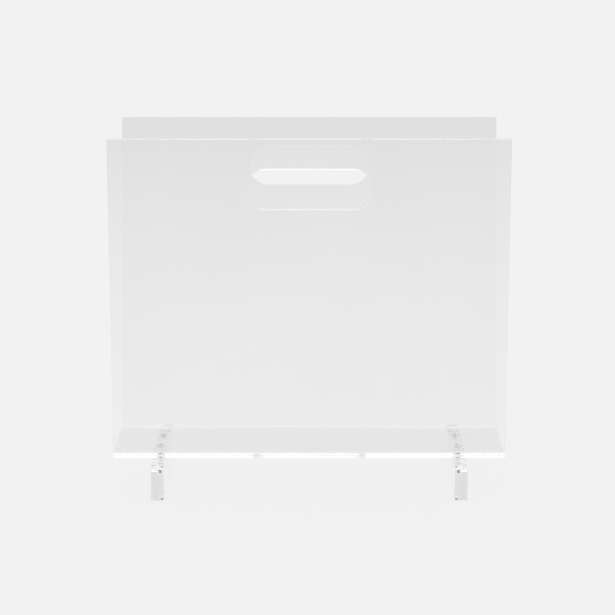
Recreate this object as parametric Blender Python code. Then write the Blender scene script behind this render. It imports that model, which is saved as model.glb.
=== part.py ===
"""Clear acrylic magazine file holder.

One acrylic sheet is line-bent into an open-ended trough: a front panel and a back panel lean apart from a
flat bottom, and each has a round-ended handle slot. The bottom is screwed down onto two solid acrylic
feet: thick plates on edge, which run front to back and stand on round bumper pads. The screws are
countersunk flush into the bottom.

The origin is on the ground under the middle of the holder. +X is the holder's right, -Y its front, +Z up.
"""

import math

import bmesh
import bpy

MM = 0.001

# Every pair of touching faces keeps this gap.
FIT_GAP = 0.3 * MM

# Trough: sizes of the bent sheet, measured to its outer faces.
SHEET_WIDTH = 312.0 * MM
SHEET_THICKNESS = 5.0 * MM
BOTTOM_DEPTH = 104.0 * MM
PANEL_LENGTH = 262.0 * MM
PANEL_LEAN = math.radians(7.0)
BEND_INNER_RADIUS = 1.5 * MM
BEND_STEPS = 10
EDGE_BREAK = 0.35 * MM

# Handle slots: stadium shaped, one in each panel.
SLOT_LENGTH = 100.0 * MM
SLOT_HEIGHT = 32.0 * MM
SLOT_BELOW_TOP = 24.0 * MM
SLOT_END_STEPS = 16

# Feet: solid plates, one under each end of the trough.
FOOT_SPACING = 240.0 * MM
FOOT_THICKNESS = 10.0 * MM
FOOT_LENGTH = 148.0 * MM
FOOT_TOP = 29.0 * MM
FOOT_SHOULDER_RADIUS = 3.0 * MM
FOOT_HEEL_RADIUS = 1.0 * MM
ARC_STEPS = 8
FOOT_EDGE_BREAK = 0.4 * MM

# Bumper pads under the two ends of each foot.
PAD_DIAMETER = 9.0 * MM
PAD_THICKNESS = 1.0 * MM
PAD_EDGE = 0.3 * MM
PAD_FROM_END = 12.0 * MM

# Countersunk screws, M4 x 20, two in each foot. The cone of the head is at 45 degrees.
SCREW_SPACING = 36.0 * MM
SHANK_DIAMETER = 4.0 * MM
SHANK_LENGTH = 20.0 * MM
SHANK_POINT = 0.6 * MM
HEAD_DIAMETER = 8.4 * MM
HEAD_RIM = 0.15 * MM
HEAD_CONE = (HEAD_DIAMETER - SHANK_DIAMETER) / 2
HEAD_HEIGHT = HEAD_CONE + HEAD_RIM
SOCKET_ACROSS_FLATS = 2.5 * MM
SOCKET_DEPTH = 1.5 * MM
SCREW_HOLE_DIAMETER = SHANK_DIAMETER + 2 * FIT_GAP
TAPPED_HOLE_DEPTH = 15.0 * MM
ROUND_STEPS = 32

# Heights that follow from the sizes above.
FOOT_BOTTOM = PAD_THICKNESS + FIT_GAP
SHEET_UNDERSIDE = FOOT_TOP + FIT_GAP
SHEET_FLOOR = SHEET_UNDERSIDE + SHEET_THICKNESS

SIDES = {"left": -1, "right": 1}
ENDS = {"front": -1, "rear": 1}


def clear_scene():
    for existing in list(bpy.data.objects):
        bpy.data.objects.remove(existing)


def make_material(name, colour, roughness, metallic=0.0, transmission=0.0, ior=1.49):
    material = bpy.data.materials.new(name)
    material.use_nodes = True
    shader = material.node_tree.nodes["Principled BSDF"]
    shader.inputs["Base Color"].default_value = (*colour, 1.0)
    shader.inputs["Roughness"].default_value = roughness
    shader.inputs["Metallic"].default_value = metallic
    shader.inputs["Transmission Weight"].default_value = transmission
    shader.inputs["IOR"].default_value = ior
    return material


def link_mesh(name, mesh, material=None):
    piece = bpy.data.objects.new(name, mesh)
    bpy.context.scene.collection.objects.link(piece)
    if material is not None:
        mesh.materials.append(material)
    return piece


def arc(centre, radius, start, end, steps):
    """Points (u, v) along an arc about centre, from the start angle to the end angle."""
    points = []
    for step in range(steps + 1):
        angle = start + (end - start) * step / steps
        points.append((centre[0] + radius * math.cos(angle), centre[1] + radius * math.sin(angle)))
    return points


def extrude_outline(name, outline, start, end, place):
    """A prism over a closed outline of (u, v) points. place(u, v, w) gives a corner's position."""
    shape = bmesh.new()
    near = [shape.verts.new(place(u, v, start)) for u, v in outline]
    far = [shape.verts.new(place(u, v, end)) for u, v in outline]
    shape.faces.new(near)
    shape.faces.new(reversed(far))
    for index in range(len(outline)):
        following = (index + 1) % len(outline)
        shape.faces.new((near[index], far[index], far[following], near[following]))
    bmesh.ops.recalc_face_normals(shape, faces=shape.faces)
    mesh = bpy.data.meshes.new(name)
    shape.to_mesh(mesh)
    shape.free()
    return mesh


def turn_profile(name, profile, steps=ROUND_STEPS):
    """A body of revolution about Z. profile holds (radius, height) points, and starts and ends on the axis."""
    shape = bmesh.new()
    rings = []
    for radius, height in profile:
        if radius == 0.0:
            rings.append([shape.verts.new((0.0, 0.0, height))])
            continue
        ring = []
        for step in range(steps):
            angle = 2 * math.pi * step / steps
            ring.append(shape.verts.new((radius * math.cos(angle), radius * math.sin(angle), height)))
        rings.append(ring)
    for first, second in zip(rings, rings[1:]):
        for step in range(steps):
            following = (step + 1) % steps
            corners = [first[step % len(first)], first[following % len(first)]]
            corners += [second[following % len(second)], second[step % len(second)]]
            shape.faces.new(list(dict.fromkeys(corners)))
    bmesh.ops.recalc_face_normals(shape, faces=shape.faces)
    mesh = bpy.data.meshes.new(name)
    shape.to_mesh(mesh)
    shape.free()
    return mesh


def smooth(mesh, crease=30.0):
    mesh.shade_smooth()
    mesh.set_sharp_from_angle(angle=math.radians(crease))


def break_edges(piece, width, segments=1):
    bevel = piece.modifiers.new("edge_break", "BEVEL")
    bevel.width = width
    bevel.segments = segments
    bevel.limit_method = "ANGLE"
    bevel.angle_limit = math.radians(40.0)


def cut(piece, cutter):
    cutter.hide_render = True
    cutter.display_type = "WIRE"
    boolean = piece.modifiers.new("cut", "BOOLEAN")
    boolean.operation = "DIFFERENCE"
    boolean.solver = "EXACT"
    boolean.object = cutter


def sheet_section():
    """Closed (y, z) outline of the bent sheet, with the underside of its bottom at z = 0."""
    outer_radius = BEND_INNER_RADIUS + SHEET_THICKNESS
    corner_angle = math.pi / 2 + PANEL_LEAN
    setback = outer_radius / math.tan(corner_angle / 2)
    bend_y = BOTTOM_DEPTH / 2 - setback
    top_y = BOTTOM_DEPTH / 2 + PANEL_LENGTH * math.sin(PANEL_LEAN)
    top_z = PANEL_LENGTH * math.cos(PANEL_LEAN)
    inner_top_y = top_y - SHEET_THICKNESS * math.cos(PANEL_LEAN)
    inner_top_z = top_z + SHEET_THICKNESS * math.sin(PANEL_LEAN)
    down = -math.pi / 2
    front_bend = (-bend_y, outer_radius)
    rear_bend = (bend_y, outer_radius)
    section = [(-top_y, top_z)]
    section += arc(front_bend, outer_radius, PANEL_LEAN - math.pi, down, BEND_STEPS)
    section += arc(rear_bend, outer_radius, down, -PANEL_LEAN, BEND_STEPS)
    section += [(top_y, top_z), (inner_top_y, inner_top_z)]
    section += arc(rear_bend, BEND_INNER_RADIUS, -PANEL_LEAN, down, BEND_STEPS)
    section += arc(front_bend, BEND_INNER_RADIUS, down, PANEL_LEAN - math.pi, BEND_STEPS)
    section += [(-inner_top_y, inner_top_z)]
    return section


def slot_cutter(end_name, end):
    """A stadium-shaped bar through one panel, square to the panel."""
    radius = SLOT_HEIGHT / 2
    reach = SLOT_LENGTH / 2 - radius
    quarter = math.pi / 2
    outline = arc((reach, 0.0), radius, -quarter, quarter, SLOT_END_STEPS)
    outline += arc((-reach, 0.0), radius, quarter, 3 * quarter, SLOT_END_STEPS)
    depth = 4 * SHEET_THICKNESS
    mesh = extrude_outline("slot_cutter", outline, -depth, depth, lambda u, v, w: (u, w, v))
    cutter = link_mesh(f"slot_cutter_{end_name}", mesh)
    along = PANEL_LENGTH - SLOT_BELOW_TOP - radius
    cutter.location.y = end * (BOTTOM_DEPTH / 2 + along * math.sin(PANEL_LEAN))
    cutter.location.z = SHEET_UNDERSIDE + along * math.cos(PANEL_LEAN)
    cutter.rotation_euler.x = -end * PANEL_LEAN
    return cutter


def screw_places():
    """Name, x and y of each screw."""
    for side_name, side in SIDES.items():
        for end_name, end in ENDS.items():
            yield f"{side_name}_{end_name}", side * FOOT_SPACING / 2, end * SCREW_SPACING / 2


def hole_cutter(place_name, x, y):
    """The hole through the sheet and down into the foot, with a cone round the head of the screw."""
    bottom = FOOT_TOP - TAPPED_HOLE_DEPTH
    top = SHEET_FLOOR + SHEET_THICKNESS
    radius = SCREW_HOLE_DIAMETER / 2
    cone_bottom = SHEET_FLOOR - HEAD_HEIGHT - FIT_GAP * (math.sqrt(2) - 1)
    profile = [(0.0, bottom), (radius, bottom), (radius, cone_bottom)]
    profile += [(radius + top - cone_bottom, top), (0.0, top)]
    cutter = link_mesh(f"hole_cutter_{place_name}", turn_profile("hole_cutter", profile))
    cutter.location = (x, y, 0.0)
    return cutter


def build_sheet(material, hole_cutters):
    half = SHEET_WIDTH / 2
    mesh = extrude_outline("tray_sheet", sheet_section(), -half, half, lambda u, v, w: (w, u, v))
    smooth(mesh)
    sheet = link_mesh("tray_sheet", mesh, material)
    sheet.location.z = SHEET_UNDERSIDE
    for end_name, end in ENDS.items():
        cut(sheet, slot_cutter(end_name, end))
    for cutter in hole_cutters:
        cut(sheet, cutter)
    break_edges(sheet, EDGE_BREAK)


def foot_outline():
    """Closed (y, z) outline of a foot: a long plate on edge with rounded corners."""
    half = FOOT_LENGTH / 2
    shoulder = FOOT_SHOULDER_RADIUS
    heel = FOOT_HEEL_RADIUS
    quarter = math.pi / 2
    outline = arc((-half + heel, FOOT_BOTTOM + heel), heel, -quarter, -2 * quarter, ARC_STEPS // 2)
    outline += arc((-half + shoulder, FOOT_TOP - shoulder), shoulder, 2 * quarter, quarter, ARC_STEPS)
    outline += arc((half - shoulder, FOOT_TOP - shoulder), shoulder, quarter, 0.0, ARC_STEPS)
    outline += arc((half - heel, FOOT_BOTTOM + heel), heel, 0.0, -quarter, ARC_STEPS // 2)
    return outline


def build_foot(side_name, side, material, hole_cutters):
    half = FOOT_THICKNESS / 2
    name = f"foot_{side_name}"
    mesh = extrude_outline(name, foot_outline(), -half, half, lambda u, v, w: (w, u, v))
    smooth(mesh)
    foot = link_mesh(name, mesh, material)
    foot.location.x = side * FOOT_SPACING / 2
    for cutter in hole_cutters:
        cut(foot, cutter)
    break_edges(foot, FOOT_EDGE_BREAK)


def pad_mesh():
    radius = PAD_DIAMETER / 2
    inner = radius - PAD_EDGE
    profile = [(0.0, 0.0), (inner, 0.0), (radius, PAD_EDGE)]
    profile += [(radius, PAD_THICKNESS), (0.0, PAD_THICKNESS)]
    mesh = turn_profile("bumper_pad", profile)
    smooth(mesh)
    return mesh


def screw_mesh():
    """Countersunk head over a plain shank, with the flat top of the head at z = 0."""
    head = HEAD_DIAMETER / 2
    shank = SHANK_DIAMETER / 2
    profile = [(0.0, -SHANK_LENGTH), (shank - SHANK_POINT, -SHANK_LENGTH)]
    profile += [(shank, SHANK_POINT - SHANK_LENGTH), (shank, -HEAD_HEIGHT)]
    profile += [(head, -HEAD_RIM), (head, 0.0), (0.0, 0.0)]
    mesh = turn_profile("screw", profile)
    smooth(mesh)
    return mesh


def socket_cutter():
    """The hexagonal key socket in a screw's head."""
    radius = SOCKET_ACROSS_FLATS / 2 / math.cos(math.pi / 6)
    profile = [(0.0, -SOCKET_DEPTH), (radius, -SOCKET_DEPTH), (radius, SOCKET_DEPTH), (0.0, SOCKET_DEPTH)]
    return link_mesh("socket_cutter", turn_profile("socket_cutter", profile, steps=6))


def build_pads(material):
    mesh = pad_mesh()
    mesh.materials.append(material)
    for side_name, side in SIDES.items():
        for end_name, end in ENDS.items():
            pad = link_mesh(f"bumper_pad_{side_name}_{end_name}", mesh)
            pad.location = (side * FOOT_SPACING / 2, end * (FOOT_LENGTH / 2 - PAD_FROM_END), 0.0)


def build_screws(material):
    mesh = screw_mesh()
    mesh.materials.append(material)
    for place_name, x, y in screw_places():
        screw = link_mesh(f"screw_{place_name}", mesh)
        screw.location = (x, y, SHEET_FLOOR)
        socket = socket_cutter()
        socket.parent = screw
        cut(screw, socket)


def build():
    clear_scene()
    acrylic = make_material("clear_acrylic", (0.97, 0.98, 0.98), 0.02, transmission=1.0)
    steel = make_material("stainless_steel", (0.62, 0.61, 0.59), 0.28, metallic=1.0)
    urethane = make_material("clear_urethane", (0.86, 0.88, 0.88), 0.18, transmission=0.8, ior=1.5)
    hole_cutters = {}
    for place_name, x, y in screw_places():
        hole_cutters[place_name] = hole_cutter(place_name, x, y)
    build_sheet(acrylic, hole_cutters.values())
    for side_name, side in SIDES.items():
        own_holes = [hole_cutters[f"{side_name}_{end_name}"] for end_name in ENDS]
        build_foot(side_name, side, acrylic, own_holes)
    build_pads(urethane)
    build_screws(steel)


build()
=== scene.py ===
"""Clear acrylic magazine file holder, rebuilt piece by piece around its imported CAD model.

Lengths are in metres. +X is the holder's right, -Y its front and +Z up, as in the CAD model.
"""

import math

import bmesh
import bpy
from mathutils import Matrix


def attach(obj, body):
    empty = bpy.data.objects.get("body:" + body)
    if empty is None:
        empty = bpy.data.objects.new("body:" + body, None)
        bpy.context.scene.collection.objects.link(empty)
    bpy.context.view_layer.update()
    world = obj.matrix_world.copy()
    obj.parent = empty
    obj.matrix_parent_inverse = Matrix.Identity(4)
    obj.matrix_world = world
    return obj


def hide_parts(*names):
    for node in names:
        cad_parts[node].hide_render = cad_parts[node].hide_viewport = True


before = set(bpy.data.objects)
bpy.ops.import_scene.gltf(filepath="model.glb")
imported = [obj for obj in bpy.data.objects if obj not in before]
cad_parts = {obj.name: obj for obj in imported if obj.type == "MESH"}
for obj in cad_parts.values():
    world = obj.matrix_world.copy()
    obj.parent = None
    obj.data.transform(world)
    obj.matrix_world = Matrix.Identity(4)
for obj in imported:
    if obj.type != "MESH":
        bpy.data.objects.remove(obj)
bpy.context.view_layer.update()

MM = 0.001
QUARTER = math.pi / 2
SIDES = {"left": -1, "right": 1}
ENDS = {"front": -1, "rear": 1}

# Sizes that the CAD model is built to.
FIT_GAP = 0.3 * MM
SHEET_WIDTH = 312.0 * MM
SHEET_THICKNESS = 5.0 * MM
BOTTOM_DEPTH = 104.0 * MM
PANEL_LENGTH = 262.0 * MM
PANEL_LEAN = math.radians(7.0)
BEND_INNER_RADIUS = 1.5 * MM
SLOT_LENGTH = 100.0 * MM
SLOT_HEIGHT = 32.0 * MM
SLOT_BELOW_TOP = 24.0 * MM
FOOT_SPACING = 240.0 * MM
FOOT_THICKNESS = 10.0 * MM
FOOT_LENGTH = 148.0 * MM
FOOT_TOP = 29.0 * MM
FOOT_SHOULDER_RADIUS = 3.0 * MM
FOOT_HEEL_RADIUS = 1.0 * MM
PAD_DIAMETER = 9.0 * MM
PAD_THICKNESS = 1.0 * MM
PAD_FROM_END = 12.0 * MM
SCREW_SPACING = 36.0 * MM
SHANK_DIAMETER = 4.0 * MM
SHANK_LENGTH = 20.0 * MM
HEAD_DIAMETER = 8.4 * MM
HEAD_RIM = 0.15 * MM
HEAD_CONE = (HEAD_DIAMETER - SHANK_DIAMETER) / 2
HEAD_HEIGHT = HEAD_CONE + HEAD_RIM
SOCKET_SIDES = 6
SOCKET_ACROSS_FLATS = 2.5 * MM
SOCKET_DEPTH = 1.5 * MM
SCREW_HOLE_DIAMETER = SHANK_DIAMETER + 2 * FIT_GAP
TAPPED_HOLE_DEPTH = 15.0 * MM

# Heights that follow from them.
FOOT_BOTTOM = PAD_THICKNESS + FIT_GAP
SHEET_UNDERSIDE = FOOT_TOP + FIT_GAP
SHEET_FLOOR = SHEET_UNDERSIDE + SHEET_THICKNESS

# How finely curves are divided.
BEND_STEPS = 36
SLOT_END_STEPS = 40
LARGE_ARC_STEPS = 16
SMALL_ARC_STEPS = 8
TINY_ARC_STEPS = 4
ROUND_STEPS = 48
DISC_STEPS = 96
BACKDROP_STEPS = 64

# Polished edges of the acrylic, and how far the cutters reach.
SHEET_EDGE = 0.4 * MM
FOOT_EDGE = 0.45 * MM
EDGE_SEGMENTS = 3
EDGE_CREASE = math.radians(35.0)
FLAT_FACE_WEIGHT = 100
SLOT_CUTTER_REACH = 4 * SHEET_THICKNESS
DRILL_TIP_SLOPE = 0.3

# Screw: its thread is a wave that is cut flat at its crest (1) and its root (0).
THREAD_PITCH = 0.7 * MM
THREAD_DEPTH = 0.34 * MM
THREAD_PEAK = 1.45
THREAD_FLANK = 3.6
THREAD_LEAD_IN = 1.2 * MM
THREAD_RUN_OUT = 0.8 * MM
THREAD_ROWS_PER_PITCH = 8
POINT_CHAMFER = 0.35 * MM
POINT_CHAMFER_LENGTH = 0.5 * MM
NECK_FILLET = 0.3 * MM
NECK_FILLET_END = 0.75 * math.pi
HEAD_EDGE = 0.08 * MM
RIM_CHAMFER = 0.02 * MM
RIM_CHAMFER_TOP = 0.8 * HEAD_RIM
SOCKET_LIP = 0.15 * MM
SOCKET_TIP = 0.25 * MM
SCREW_CREASE = math.radians(38.0)
SCREW_TURNS = {"left_front": 11.0, "left_rear": 47.0, "right_front": 32.0, "right_rear": 5.0}

# Bumper pad: its side is given as (distance in from the full radius, height).
PAD_LOWER_ROUND = 0.4 * MM
PAD_SIDE = [(0.02 * MM, 0.6 * MM), (0.06 * MM, 0.84 * MM)]
PAD_UPPER_ROUND = 0.1 * MM
PAD_UPPER_INSET = 0.18 * MM
PAD_CREASE = math.radians(50.0)

# Finishes. Colours are linear light.
BLACK = (0.0, 0.0, 0.0, 1.0)
WHITE = (1.0, 1.0, 1.0, 1.0)
ACRYLIC_IOR = 1.49
# Acrylic tones: their grey is painted shade for the darker surroundings seen through the acrylic, and it is
# greyer on the plates than on the sheet. The step from clear to hazy is random tone.
SHEET_CLEAR_SHADED = (0.986, 0.986, 0.986)
SHEET_HAZE_AND_SHADE = (0.977, 0.977, 0.977)
PLATE_CLEAR_SHADED = (0.976, 0.976, 0.976)
PLATE_HAZE_AND_SHADE = (0.967, 0.967, 0.967)
PLATE_OFFSET = (3.0, 1.0, 2.0)
SMEAR_ROUGHNESS = (0.0, 0.004)
SCRATCH_DEPTH = 0.01 * MM
STEEL_PALE = (0.94, 0.935, 0.925)
STEEL_DARK = (0.85, 0.845, 0.835)
STEEL_ROUGHNESS = (0.5, 0.64)
STEEL_LINE_DEPTH = 0.02 * MM
URETHANE_IOR = 1.5
URETHANE_CLARITY = 0.85
URETHANE_PALE = (0.93, 0.93, 0.93)
URETHANE_DARK = (0.87, 0.87, 0.87)
URETHANE_ROUGHNESS = (0.12, 0.28)
URETHANE_GRAIN_DEPTH = 0.03 * MM

# Studio. PAPER is the open background's linear light, and the tones are shares of it.
PAPER = 0.887
PAPER_ALBEDO = 0.04
NEAR_TONE = 0.985
FAR_TONE = 0.855
HORIZON_TONE = 0.85
OVERHEAD_TONE = 1.6
REAR_TONE = 1.16
OVERHEAD_HALF_ANGLE = math.radians(35.0)
FLOOR_RADIUS = 16.0
TABLE_DROP = 0.2 * MM
TABLE_FADE = (0.2, 2.6)
BACKDROP_RADIUS = 17.0

# Where the world's light rises, along the Z and Y of a direction.
OVERHEAD_RISE_Z = (0.75, 0.9)
REAR_RISE_Z = (0.27, 0.41)
REAR_RISE_Y = (0.2, 0.6)

# Camera: two metres in front of the holder and half a metre up, looking down a little.
FRAME_PIXELS = 615
FOCAL_PIXELS = 2500.0
SENSOR_WIDTH = 36.0
CAMERA_TILT = math.radians(8.927)
CAMERA_SHIFT_X = -0.0028
CAMERA_SHIFT_Y = -0.1
CAMERA_AHEAD_OF_BOTTOM = 1.9426
CAMERA_ABOVE_SHEET = 0.4776
CLIP_START = 0.05
CLIP_END = 60.0

# Light is followed far enough through the acrylic that no edge comes out black.
LIGHT_BOUNCES = 256
TRANSPARENT_BOUNCES = 16


# ---------------------------------------------------------------- geometry


def arc(centre, radius, start, end, steps):
    """Points (u, v) along an arc about centre, from the start angle to the end angle."""
    points = []
    for step in range(steps + 1):
        angle = start + (end - start) * step / steps
        points.append((centre[0] + radius * math.cos(angle), centre[1] + radius * math.sin(angle)))
    return points


def clamp(value):
    return max(0.0, min(1.0, value))


def link_mesh(name, mesh, location=(0.0, 0.0, 0.0)):
    piece = bpy.data.objects.new(name, mesh)
    bpy.context.scene.collection.objects.link(piece)
    piece.location = location
    return piece


def mesh_from(name, shape):
    bmesh.ops.recalc_face_normals(shape, faces=shape.faces)
    mesh = bpy.data.meshes.new(name)
    shape.to_mesh(mesh)
    shape.free()
    return mesh


def extrude_outline(name, outline, half, place):
    """A prism over a closed outline of (u, v) points, from w = -half to w = half.

    place(u, v, w) gives a corner's position.
    """
    shape = bmesh.new()
    near = [shape.verts.new(place(u, v, -half)) for u, v in outline]
    far = [shape.verts.new(place(u, v, half)) for u, v in outline]
    shape.faces.new(near)
    shape.faces.new(reversed(far))
    for index in range(len(outline)):
        following = (index + 1) % len(outline)
        shape.faces.new((near[index], far[index], far[following], near[following]))
    return mesh_from(name, shape)


def add_ring(shape, radii, height):
    """A ring of vertices about Z, one at each of the radii, evenly round the turn."""
    ring = []
    for step, radius in enumerate(radii):
        angle = 2 * math.pi * step / len(radii)
        ring.append(shape.verts.new((radius * math.cos(angle), radius * math.sin(angle), height)))
    return ring


def bridge(shape, rings, steps=ROUND_STEPS):
    """Faces between each ring and the next. A ring of one vertex is a point on the axis."""
    for first, second in zip(rings, rings[1:]):
        for step in range(steps):
            following = (step + 1) % steps
            corners = [first[step % len(first)], first[following % len(first)]]
            corners += [second[following % len(second)], second[step % len(second)]]
            shape.faces.new(list(dict.fromkeys(corners)))


def turn_profile(name, profile, steps=ROUND_STEPS):
    """A body turned about Z from (radius, height) points that start and end on the axis."""
    shape = bmesh.new()
    rings = []
    for radius, height in profile:
        count = steps if radius else 1
        rings.append(add_ring(shape, [radius] * count, height))
    bridge(shape, rings, steps)
    return mesh_from(name, shape)


def settle(piece):
    """Applies the modifiers of piece."""
    bpy.context.view_layer.update()
    evaluated = piece.evaluated_get(bpy.context.evaluated_depsgraph_get())
    mesh = bpy.data.meshes.new_from_object(evaluated)
    piece.modifiers.clear()
    piece.data = mesh
    mesh.name = piece.name


def carve(piece, cutters):
    """Cuts the cutters out of piece, and removes them."""
    for cutter in cutters:
        boolean = piece.modifiers.new("cut", "BOOLEAN")
        boolean.operation = "DIFFERENCE"
        boolean.solver = "EXACT"
        boolean.object = cutter
    settle(piece)
    for cutter in cutters:
        bpy.data.objects.remove(cutter)


def round_edges(piece, width):
    """Rounds the sharp edges, and keeps the flat faces optically flat beside them."""
    bevel = piece.modifiers.new("rounding", "BEVEL")
    bevel.width = width
    bevel.segments = EDGE_SEGMENTS
    bevel.limit_method = "ANGLE"
    bevel.angle_limit = EDGE_CREASE
    bevel.use_clamp_overlap = False
    settle(piece)
    piece.data.shade_smooth()
    weighted = piece.modifiers.new("flat_faces", "WEIGHTED_NORMAL")
    weighted.mode = "FACE_AREA"
    weighted.weight = FLAT_FACE_WEIGHT
    weighted.keep_sharp = False


def sheet_section():
    """Closed (y, z) outline of the bent sheet, with the underside of its bottom at z = 0."""
    outer_radius = BEND_INNER_RADIUS + SHEET_THICKNESS
    corner_angle = QUARTER + PANEL_LEAN
    setback = outer_radius / math.tan(corner_angle / 2)
    bend_y = BOTTOM_DEPTH / 2 - setback
    top_y = BOTTOM_DEPTH / 2 + PANEL_LENGTH * math.sin(PANEL_LEAN)
    top_z = PANEL_LENGTH * math.cos(PANEL_LEAN)
    inner_top_y = top_y - SHEET_THICKNESS * math.cos(PANEL_LEAN)
    inner_top_z = top_z + SHEET_THICKNESS * math.sin(PANEL_LEAN)
    front_bend = (-bend_y, outer_radius)
    rear_bend = (bend_y, outer_radius)
    section = [(-top_y, top_z)]
    section += arc(front_bend, outer_radius, PANEL_LEAN - math.pi, -QUARTER, BEND_STEPS)
    section += arc(rear_bend, outer_radius, -QUARTER, -PANEL_LEAN, BEND_STEPS)
    section += [(top_y, top_z), (inner_top_y, inner_top_z)]
    section += arc(rear_bend, BEND_INNER_RADIUS, -PANEL_LEAN, -QUARTER, BEND_STEPS)
    section += arc(front_bend, BEND_INNER_RADIUS, -QUARTER, PANEL_LEAN - math.pi, BEND_STEPS)
    section += [(-inner_top_y, inner_top_z)]
    return section


def slot_cutter(end):
    """A round-ended prism, square to the leaning panel at that end."""
    radius = SLOT_HEIGHT / 2
    reach = SLOT_LENGTH / 2 - radius
    outline = arc((reach, 0.0), radius, -QUARTER, QUARTER, SLOT_END_STEPS)
    outline += arc((-reach, 0.0), radius, QUARTER, 3 * QUARTER, SLOT_END_STEPS)
    mesh = extrude_outline("slot_cutter", outline, SLOT_CUTTER_REACH, lambda u, v, w: (u, w, v))
    cutter = link_mesh("slot_cutter", mesh)
    along = PANEL_LENGTH - SLOT_BELOW_TOP - radius
    cutter.location.y = end * (BOTTOM_DEPTH / 2 + along * math.sin(PANEL_LEAN))
    cutter.location.z = SHEET_UNDERSIDE + along * math.cos(PANEL_LEAN)
    cutter.rotation_euler.x = -end * PANEL_LEAN
    return cutter


def screw_places():
    """Name, x and y of each screw."""
    for side_name, side in SIDES.items():
        for end_name, end in ENDS.items():
            yield f"{side_name}_{end_name}", side * FOOT_SPACING / 2, end * SCREW_SPACING / 2


def hole_cutter(x, y):
    """The drilled hole with its conical seat, from above the sheet down into the foot."""
    radius = SCREW_HOLE_DIAMETER / 2
    bottom = FOOT_TOP - TAPPED_HOLE_DEPTH
    tip = bottom - radius * DRILL_TIP_SLOPE
    cone_bottom = SHEET_FLOOR - HEAD_HEIGHT - FIT_GAP * (math.sqrt(2) - 1)
    top = SHEET_FLOOR + SHEET_THICKNESS
    profile = [(0.0, tip), (radius, bottom), (radius, cone_bottom)]
    profile += [(radius + top - cone_bottom, top), (0.0, top)]
    return link_mesh("hole_cutter", turn_profile("hole_cutter", profile), (x, y, 0.0))


def build_sheet():
    mesh = extrude_outline("sheet", sheet_section(), SHEET_WIDTH / 2, lambda u, v, w: (w, u, v))
    sheet = link_mesh("acrylic_tray", mesh, (0.0, 0.0, SHEET_UNDERSIDE))
    cutters = [slot_cutter(end) for end in ENDS.values()]
    cutters += [hole_cutter(x, y) for _, x, y in screw_places()]
    carve(sheet, cutters)
    round_edges(sheet, SHEET_EDGE)
    return sheet


def foot_outline():
    """Closed (y, z) outline of a foot: a long plate on edge with rounded corners."""
    half = FOOT_LENGTH / 2
    shoulder = FOOT_SHOULDER_RADIUS
    shoulder_z = FOOT_TOP - shoulder
    heel = FOOT_HEEL_RADIUS
    heel_z = FOOT_BOTTOM + heel
    outline = arc((-half + heel, heel_z), heel, -QUARTER, -2 * QUARTER, SMALL_ARC_STEPS)
    outline += arc((-half + shoulder, shoulder_z), shoulder, 2 * QUARTER, QUARTER, LARGE_ARC_STEPS)
    outline += arc((half - shoulder, shoulder_z), shoulder, QUARTER, 0.0, LARGE_ARC_STEPS)
    outline += arc((half - heel, heel_z), heel, 0.0, -QUARTER, SMALL_ARC_STEPS)
    return outline


def build_foot(side_name, side):
    mesh = extrude_outline("foot", foot_outline(), FOOT_THICKNESS / 2, lambda u, v, w: (w, u, v))
    foot = link_mesh(f"acrylic_foot_{side_name}", mesh, (side * FOOT_SPACING / 2, 0.0, 0.0))
    carve(foot, [hole_cutter(foot.location.x, end * SCREW_SPACING / 2) for end in ENDS.values()])
    round_edges(foot, FOOT_EDGE)
    return foot


def shank_radius(turn, height):
    """Radius of the threaded shank at a turn (0 to 1) and a height from the top of the head."""
    from_point = height + SHANK_LENGTH
    wave = (height / THREAD_PITCH - turn) % 1.0
    ridge = clamp(THREAD_PEAK - THREAD_FLANK * abs(wave - 0.5))
    lead_in = clamp(from_point / THREAD_LEAD_IN)
    run_out = clamp((-HEAD_HEIGHT - height) / THREAD_RUN_OUT)
    chamfer = POINT_CHAMFER * max(0.0, 1 - from_point / POINT_CHAMFER_LENGTH)
    root = SHANK_DIAMETER / 2 - THREAD_DEPTH
    return root + THREAD_DEPTH * ridge * min(lead_in, run_out) - chamfer


def screw_mesh():
    """Threaded shank and countersunk head, with the flat top of the head at z = 0."""
    shape = bmesh.new()
    rings = []
    length = SHANK_LENGTH - HEAD_HEIGHT
    rows = round(length / THREAD_PITCH * THREAD_ROWS_PER_PITCH)
    for row in range(rows + 1):
        height = -SHANK_LENGTH + length * row / rows
        radii = [shank_radius(step / ROUND_STEPS, height) for step in range(ROUND_STEPS)]
        rings.append(add_ring(shape, radii, height))
    head = HEAD_DIAMETER / 2
    neck = (SHANK_DIAMETER / 2 + NECK_FILLET, -HEAD_HEIGHT)
    profile = arc(neck, NECK_FILLET, math.pi, NECK_FILLET_END, TINY_ARC_STEPS)
    profile += [(head - RIM_CHAMFER, -HEAD_RIM), (head, -RIM_CHAMFER_TOP)]
    profile += arc((head - HEAD_EDGE, -HEAD_EDGE), HEAD_EDGE, 0.0, QUARTER, TINY_ARC_STEPS)
    for radius, height in profile:
        rings.append(add_ring(shape, [radius] * ROUND_STEPS, height))
    bridge(shape, rings)
    shape.faces.new(reversed(rings[0]))
    shape.faces.new(rings[-1])
    return mesh_from("screw", shape)


def build_screw(place_name, x, y):
    screw = link_mesh(f"screw_{place_name}_visible", screw_mesh(), (x, y, SHEET_FLOOR))
    radius = SOCKET_ACROSS_FLATS / 2 / math.cos(math.pi / SOCKET_SIDES)
    profile = [(0.0, -SOCKET_DEPTH - SOCKET_TIP), (radius, -SOCKET_DEPTH), (radius, -SOCKET_LIP)]
    profile += [(radius + 2 * SOCKET_LIP, SOCKET_LIP), (0.0, SOCKET_LIP)]
    socket = turn_profile("socket_cutter", profile, steps=SOCKET_SIDES)
    carve(screw, [link_mesh("socket_cutter", socket, screw.location)])
    screw.rotation_euler.z = math.radians(SCREW_TURNS[place_name])
    screw.data.shade_smooth()
    screw.data.set_sharp_from_angle(angle=SCREW_CREASE)
    return screw


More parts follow.
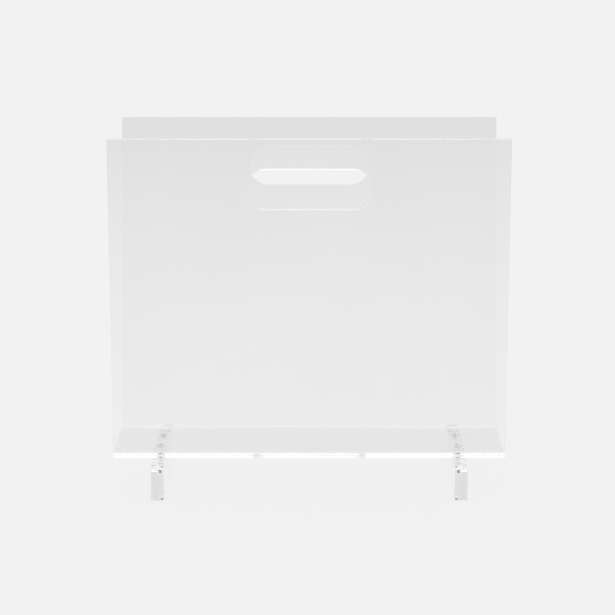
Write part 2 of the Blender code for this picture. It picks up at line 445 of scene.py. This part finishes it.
def build_pad(name, x, y):
    """A clear bumper: flat where it sticks and where it stands, with a side that draws in a little."""
    radius = PAD_DIAMETER / 2
    lower = (radius - PAD_LOWER_ROUND, PAD_LOWER_ROUND)
    upper = (radius - PAD_UPPER_INSET, PAD_THICKNESS - PAD_UPPER_ROUND)
    profile = [(0.0, 0.0)]
    profile += arc(lower, PAD_LOWER_ROUND, -QUARTER, 0.0, SMALL_ARC_STEPS)
    profile += [(radius - inset, height) for inset, height in PAD_SIDE]
    profile += arc(upper, PAD_UPPER_ROUND, 0.0, QUARTER, TINY_ARC_STEPS)
    profile += [(0.0, PAD_THICKNESS)]
    pad = link_mesh(f"pad_{name}_visible", turn_profile("pad", profile), (x, y, 0.0))
    pad.data.shade_smooth()
    pad.data.set_sharp_from_angle(angle=PAD_CREASE)
    return pad


# ---------------------------------------------------------------- materials


class Nodes:
    """The node tree of a material or a world, with short calls to add to it."""

    def __init__(self, owner, shader):
        owner.use_nodes = True
        self.owner = owner
        self.tree = owner.node_tree
        self.shader = self.tree.nodes[shader]
        self.place = self.add("ShaderNodeTexCoord")

    def add(self, kind, **settings):
        node = self.tree.nodes.new(kind)
        for key, value in settings.items():
            setattr(node, key, value)
        return node

    def link(self, output, socket):
        self.tree.links.new(output, socket)

    def mapped(self, scale=(1.0, 1.0, 1.0), rotation=(0.0, 0.0, 0.0), offset=(0.0, 0.0, 0.0)):
        node = self.add("ShaderNodeMapping")
        node.inputs["Scale"].default_value = scale
        node.inputs["Rotation"].default_value = rotation
        node.inputs["Location"].default_value = offset
        self.link(self.place.outputs["Object"], node.inputs["Vector"])
        return node.outputs["Vector"]

    def noise(self, vector, scale, detail, distortion=0.0):
        node = self.add("ShaderNodeTexNoise")
        node.inputs["Scale"].default_value = scale
        node.inputs["Detail"].default_value = detail
        node.inputs["Distortion"].default_value = distortion
        self.link(vector, node.inputs["Vector"])
        return node.outputs["Fac"]

    def remap(self, value, source, target=(0.0, 1.0), interpolation="LINEAR"):
        """Takes the source range of value to the target range."""
        node = self.add("ShaderNodeMapRange", interpolation_type=interpolation)
        node.inputs["From Min"].default_value = source[0]
        node.inputs["From Max"].default_value = source[1]
        node.inputs["To Min"].default_value = target[0]
        node.inputs["To Max"].default_value = target[1]
        self.link(value, node.inputs["Value"])
        return node.outputs["Result"]

    def blend(self, factor, first, second):
        """A colour between two, by their sockets' numbers, because the node has others of the same name."""
        node = self.add("ShaderNodeMix", data_type="RGBA")
        node.inputs[6].default_value = (*first, 1.0)
        node.inputs[7].default_value = (*second, 1.0)
        self.link(factor, node.inputs["Factor"])
        return node.outputs[2]

    def bump(self, height, strength, distance):
        node = self.add("ShaderNodeBump")
        node.inputs["Strength"].default_value = strength
        node.inputs["Distance"].default_value = distance
        self.link(height, node.inputs["Height"])
        self.link(node.outputs["Normal"], self.shader.inputs["Normal"])


def material_nodes(name):
    return Nodes(bpy.data.materials.new(name), "Principled BSDF")


def acrylic(name, clear, hazy_shaded, offset):
    """Polished clear acrylic: a colourless body with a slight grey of painted shade, random cloudy tone,
    wipe marks in its gloss and a few hairline scratches.
    """
    nodes = material_nodes(name)
    shader = nodes.shader
    shader.inputs["Transmission Weight"].default_value = 1.0
    shader.inputs["IOR"].default_value = ACRYLIC_IOR
    cloud = nodes.noise(nodes.mapped(offset=offset), scale=11.0, detail=4.0)
    haze = nodes.remap(cloud, source=(0.35, 0.65))
    # Base colour: a grey tint of painted shade, varied at random between the clearer and the hazier tone.
    nodes.link(nodes.blend(haze, clear, hazy_shaded), shader.inputs["Base Color"])
    along_wipes = nodes.mapped(scale=(3.0, 3.0, 22.0), rotation=(0.2, 0.5, 0.9), offset=offset)
    wipes = nodes.noise(along_wipes, scale=9.0, detail=5.0, distortion=0.6)
    smears = nodes.remap(wipes, source=(0.52, 0.78), target=SMEAR_ROUGHNESS)
    nodes.link(smears, shader.inputs["Roughness"])
    along_hairs = nodes.mapped(scale=(260.0, 260.0, 7.0), rotation=(0.35, 0.15, 0.5), offset=offset)
    hairs = nodes.noise(along_hairs, scale=6.0, detail=2.0)
    scratches = nodes.remap(hairs, source=(0.71, 0.74))
    nodes.bump(scratches, strength=0.05, distance=SCRATCH_DEPTH)
    return nodes.owner


def steel():
    """Passivated stainless: fine turning lines round the shank and head, and small tone changes."""
    nodes = material_nodes("stainless")
    shader = nodes.shader
    shader.inputs["Metallic"].default_value = 1.0
    cloud = nodes.noise(nodes.mapped(), scale=700.0, detail=4.0)
    tone = nodes.blend(nodes.remap(cloud, source=(0.3, 0.7)), STEEL_PALE, STEEL_DARK)
    nodes.link(tone, shader.inputs["Base Color"])
    lines = nodes.noise(nodes.mapped(scale=(1.0, 1.0, 60.0)), scale=400.0, detail=3.0)
    satin = nodes.remap(lines, source=(0.3, 0.7), target=STEEL_ROUGHNESS)
    nodes.link(satin, shader.inputs["Roughness"])
    nodes.bump(lines, strength=0.15, distance=STEEL_LINE_DEPTH)
    return nodes.owner


def urethane():
    """Soft clear urethane: nearly clear, satin from handling, with fine dust held on it."""
    nodes = material_nodes("soft_urethane")
    shader = nodes.shader
    shader.inputs["Transmission Weight"].default_value = URETHANE_CLARITY
    shader.inputs["IOR"].default_value = URETHANE_IOR
    cloud = nodes.noise(nodes.mapped(), scale=600.0, detail=4.0)
    tone = nodes.blend(nodes.remap(cloud, source=(0.35, 0.7)), URETHANE_PALE, URETHANE_DARK)
    nodes.link(tone, shader.inputs["Base Color"])
    grain = nodes.noise(nodes.mapped(), scale=1800.0, detail=3.0)
    satin = nodes.remap(grain, source=(0.3, 0.7), target=URETHANE_ROUGHNESS)
    nodes.link(satin, shader.inputs["Roughness"])
    nodes.bump(grain, strength=0.15, distance=URETHANE_GRAIN_DEPTH)
    return nodes.owner


def finish_piece(piece, material, slot, *replaced):
    piece.data.materials.clear()
    piece.data.materials.append(material)
    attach(piece, "root")
    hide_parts(*replaced)


def build_holder():
    # Both acrylic finishes carry a grey tint of painted shade, and it is darker on the plates of the feet.
    sheet_finish = acrylic("acrylic_sheet", SHEET_CLEAR_SHADED, SHEET_HAZE_AND_SHADE, (0.0, 0.0, 0.0))
    plate_finish = acrylic("acrylic_plate", PLATE_CLEAR_SHADED, PLATE_HAZE_AND_SHADE, PLATE_OFFSET)
    finish_piece(build_sheet(), sheet_finish, "clear_acrylic", "tray_sheet")
    for side_name, side in SIDES.items():
        finish_piece(build_foot(side_name, side), plate_finish, "clear_acrylic", f"foot_{side_name}")
    metal = steel()
    clear_rubber = urethane()
    for place_name, x, y in screw_places():
        screw = build_screw(place_name, x, y)
        finish_piece(screw, metal, "stainless_steel", f"screw_{place_name}")
    pad_y = FOOT_LENGTH / 2 - PAD_FROM_END
    for side_name, side in SIDES.items():
        for end_name, end in ENDS.items():
            pad = build_pad(f"{side_name}_{end_name}", side * FOOT_SPACING / 2, end * pad_y)
            finish_piece(pad, clear_rubber, "clear_urethane", f"bumper_pad_{side_name}_{end_name}")


# ---------------------------------------------------------------- studio


def seen_by(piece, camera=False, diffuse=False, glossy=False, transmission=False):
    """Shows piece only to these kinds of ray. It casts no shadow."""
    piece.visible_camera = camera
    piece.visible_diffuse = diffuse
    piece.visible_glossy = glossy
    piece.visible_transmission = transmission
    piece.visible_shadow = False


def disc(name, height):
    shape = bmesh.new()
    shape.faces.new(add_ring(shape, [FLOOR_RADIUS] * DISC_STEPS, height))
    return link_mesh(name, mesh_from(name, shape))


def glowing(name, tone):
    """A black matt surface that gives off an even light of its own."""
    nodes = material_nodes(name)
    nodes.shader.inputs["Base Color"].default_value = BLACK
    nodes.shader.inputs["Roughness"].default_value = 1.0
    nodes.shader.inputs["Specular IOR Level"].default_value = 0.0
    nodes.shader.inputs["Emission Color"].default_value = WHITE
    nodes.shader.inputs["Emission Strength"].default_value = tone
    return nodes


def build_floor():
    """The table that the camera sees: even paper, a little darkened by the holder."""
    zenith_share = math.sin(OVERHEAD_HALF_ANGLE) ** 2
    sky_light = PAPER * (OVERHEAD_TONE * zenith_share + HORIZON_TONE * (1 - zenith_share))
    paper = glowing("paper", PAPER - PAPER_ALBEDO * sky_light)
    paper.shader.inputs["Base Color"].default_value = (PAPER_ALBEDO, PAPER_ALBEDO, PAPER_ALBEDO, 1.0)
    floor = disc("floor", 0.0)
    floor.data.materials.append(paper.owner)
    seen_by(floor, camera=True, diffuse=True)
    return floor


def build_table_light():
    """The table as the acrylic shows and reflects it: bright beside the holder, dimmer further off."""
    table = disc("table_light", -TABLE_DROP)
    tones = glowing("table_tone", 0.0)
    distance = tones.add("ShaderNodeVectorMath", operation="LENGTH")
    tones.link(tones.place.outputs["Object"], distance.inputs[0])
    tone = tones.remap(distance.outputs["Value"], TABLE_FADE, (PAPER * NEAR_TONE, PAPER * FAR_TONE))
    tones.link(tone, tones.shader.inputs["Emission Strength"])
    table.data.materials.append(tones.owner)
    seen_by(table, glossy=True, transmission=True)
    return table


def build_backdrop():
    """A plain backdrop that only the camera sees."""
    shape = bmesh.new()
    rows = BACKDROP_STEPS // 2
    bmesh.ops.create_uvsphere(
        shape, u_segments=BACKDROP_STEPS, v_segments=rows, radius=BACKDROP_RADIUS
    )
    backdrop = link_mesh("backdrop", mesh_from("backdrop", shape))
    backdrop.data.materials.append(glowing("backdrop_tone", PAPER).owner)
    seen_by(backdrop, camera=True)
    return backdrop


def build_world():
    """The room's light: even at the horizon, brightest overhead and a little brighter high up behind."""
    world = bpy.data.worlds.new("studio")
    bpy.context.scene.world = world
    nodes = Nodes(world, "Background")
    nodes.shader.inputs["Color"].default_value = WHITE
    split = nodes.add("ShaderNodeSeparateXYZ")
    nodes.link(nodes.place.outputs["Generated"], split.inputs["Vector"])
    horizon = PAPER * HORIZON_TONE
    over = (0.0, PAPER * OVERHEAD_TONE - horizon)
    overhead = nodes.remap(split.outputs["Z"], OVERHEAD_RISE_Z, over, "SMOOTHSTEP")
    rise = (0.0, PAPER * REAR_TONE - horizon)
    high = nodes.remap(split.outputs["Z"], REAR_RISE_Z, rise, "SMOOTHSTEP")
    behind = nodes.remap(split.outputs["Y"], REAR_RISE_Y, interpolation="SMOOTHSTEP")
    rear = nodes.add("ShaderNodeMath", operation="MULTIPLY_ADD")
    nodes.link(high, rear.inputs[0])
    nodes.link(behind, rear.inputs[1])
    rear.inputs[2].default_value = horizon
    total = nodes.add("ShaderNodeMath", operation="ADD")
    nodes.link(rear.outputs["Value"], total.inputs[0])
    nodes.link(overhead, total.inputs[1])
    nodes.link(total.outputs["Value"], nodes.shader.inputs["Strength"])


def build_studio():
    floor = build_floor()
    table = build_table_light()
    backdrop = build_backdrop()
    build_world()


def build_camera():
    camera = bpy.data.cameras.new("camera")
    camera.sensor_width = SENSOR_WIDTH
    camera.lens = FOCAL_PIXELS / FRAME_PIXELS * SENSOR_WIDTH
    camera.shift_x = CAMERA_SHIFT_X
    camera.shift_y = CAMERA_SHIFT_Y
    camera.clip_start = CLIP_START
    camera.clip_end = CLIP_END
    rig = bpy.data.objects.new("camera", camera)
    bpy.context.scene.collection.objects.link(rig)
    ahead = BOTTOM_DEPTH / 2 + CAMERA_AHEAD_OF_BOTTOM
    rig.location = (0.0, -ahead, SHEET_UNDERSIDE + CAMERA_ABOVE_SHEET)
    rig.rotation_euler = (QUARTER - CAMERA_TILT, 0.0, 0.0)
    bpy.context.scene.camera = rig


build_camera()
build_holder()
build_studio()

scene = bpy.context.scene
scene.view_settings.view_transform = "Standard"
scene.cycles.max_bounces = LIGHT_BOUNCES
scene.cycles.transmission_bounces = LIGHT_BOUNCES
scene.cycles.glossy_bounces = LIGHT_BOUNCES
scene.cycles.transparent_max_bounces = TRANSPARENT_BOUNCES
